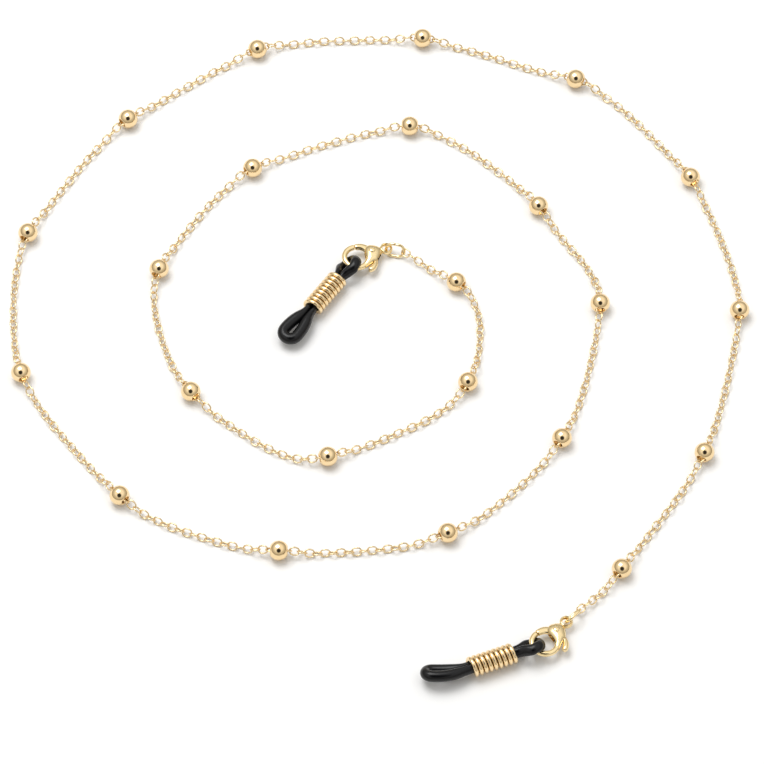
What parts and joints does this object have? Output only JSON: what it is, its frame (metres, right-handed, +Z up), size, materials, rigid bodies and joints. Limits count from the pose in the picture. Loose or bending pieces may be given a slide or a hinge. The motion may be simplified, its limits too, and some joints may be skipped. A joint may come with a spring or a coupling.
{
  "type": "eyeglasses chain strap",
  "caption": "Eyeglasses chain strap: fine cable chain with small hollow balls and, at each end, a jump ring, lobster clasp and rubber temple loop with a wire coil, laid in a loose spiral",
  "frame": {"origin": "on the ground plane, under the middle of the box round the whole strap as it lies", "axes": "+Z up from the ground, +Y away from the viewer across the spiral, +X to the right"},
  "size_m": [0.1357, 0.1404, 0.0042],
  "materials": {
    "chain_gold": "pale gold plate, bright",
    "ball_gold": "pale gold plate, polished",
    "clasp_gold": "pale gold plate, cast and tumbled",
    "coil_gold": "pale gold plate on drawn wire",
    "spring_steel": "bright drawn spring wire",
    "black_rubber": "smooth, slightly glossy"
  },
  "bodies": {
    "chain": {"chain_length_01": "chain_gold", "chain_length_02": "chain_gold", "chain_length_03": "chain_gold", "chain_length_04": "chain_gold", "chain_length_05": "chain_gold", "chain_length_06": "chain_gold", "chain_length_07": "chain_gold", "chain_length_08": "chain_gold", "chain_length_09": "chain_gold", "chain_length_10": "chain_gold", "chain_length_11": "chain_gold", "chain_length_12": "chain_gold", "ball_01": "ball_gold", "ball_02": "ball_gold", "ball_03": "ball_gold", "ball_04": "ball_gold", "ball_05": "ball_gold", "ball_06": "ball_gold", "ball_07": "ball_gold", "ball_08": "ball_gold", "ball_09": "ball_gold", "ball_10": "ball_gold", "ball_11": "ball_gold", "ball_12": "ball_gold", "ball_13": "ball_gold", "ball_14": "ball_gold", "ball_15": "ball_gold", "ball_16": "ball_gold", "ball_17": "ball_gold", "ball_18": "ball_gold", "ball_19": "ball_gold", "ball_20": "ball_gold", "ball_21": "ball_gold", "ball_22": "ball_gold", "ball_23": "ball_gold"},
    "outer_ring": {"outer_jump_ring": "clasp_gold"},
    "outer_clasp": {"outer_clasp_body": "clasp_gold", "outer_lever_pin": "clasp_gold", "outer_lever_spring": "spring_steel"},
    "outer_lever": {"outer_clasp_lever": "clasp_gold"},
    "outer_grip": {"outer_rubber_grip": "black_rubber"},
    "outer_coil": {"outer_grip_coil": "coil_gold"},
    "inner_ring": {"inner_jump_ring": "clasp_gold"},
    "inner_clasp": {"inner_clasp_body": "clasp_gold", "inner_lever_pin": "clasp_gold", "inner_lever_spring": "spring_steel"},
    "inner_lever": {"inner_clasp_lever": "clasp_gold"},
    "inner_grip": {"inner_rubber_grip": "black_rubber"},
    "inner_coil": {"inner_grip_coil": "coil_gold"}
  },
  "joints": [
    {"name": "outer_ring_swing", "type": "hinge", "parent": "chain", "child": "outer_ring", "pos_m": [0.035, -0.0558, 0.00138], "axis": [0, 0, 1], "range_deg": [-20, 20]},
    {"name": "outer_clasp_swing", "type": "hinge", "parent": "outer_ring", "child": "outer_clasp", "pos_m": [0.03264, -0.05825, 0.00138], "axis": [0, 0, 1], "range_deg": [-20, 20]},
    {"name": "outer_lever_turn", "type": "hinge", "parent": "outer_clasp", "child": "outer_lever", "pos_m": [0.03074, -0.06042, 0.00166], "axis": [0.0618, 0.0711, 0.9956], "range_deg": [0, 15], "stiffness_Nm_per_rad": 0.004, "springref_deg": -14.32, "deforming": ["outer_lever_spring"]},
    {"name": "outer_grip_swing", "type": "hinge", "parent": "outer_clasp", "child": "outer_grip", "pos_m": [0.02664, -0.0635, 0.00213], "axis": [0, 0, -1], "range_deg": [-15, 15]},
    {"name": "outer_coil_slide", "type": "slide", "parent": "outer_grip", "child": "outer_coil", "axis": [-0.9336, -0.3584, 0], "range_m": [-0.0012, 0.0009]},
    {"name": "inner_ring_swing", "type": "hinge", "parent": "chain", "child": "inner_ring", "pos_m": [0.0044, 0.0198, 0.00138], "axis": [0, 0, 1], "range_deg": [-20, 20]},
    {"name": "inner_clasp_swing", "type": "hinge", "parent": "inner_ring", "child": "inner_clasp", "pos_m": [0.00107, 0.02051, 0.00138], "axis": [0, 0, 1], "range_deg": [-20, 20]},
    {"name": "inner_lever_turn", "type": "hinge", "parent": "inner_clasp", "child": "inner_lever", "pos_m": [-0.00158, 0.01938, 0.00166], "axis": [0.0874, 0.0371, 0.9955], "range_deg": [0, 15], "stiffness_Nm_per_rad": 0.004, "springref_deg": -14.32, "deforming": ["inner_lever_spring"]},
    {"name": "inner_grip_swing", "type": "hinge", "parent": "inner_clasp", "child": "inner_grip", "pos_m": [-0.00568, 0.01635, 0.00213], "axis": [0, 0, 1], "range_deg": [-15, 15]},
    {"name": "inner_coil_slide", "type": "slide", "parent": "inner_grip", "child": "inner_coil", "axis": [-0.5878, -0.809, 0], "range_m": [-0.0012, 0.0009]}
  ]
}
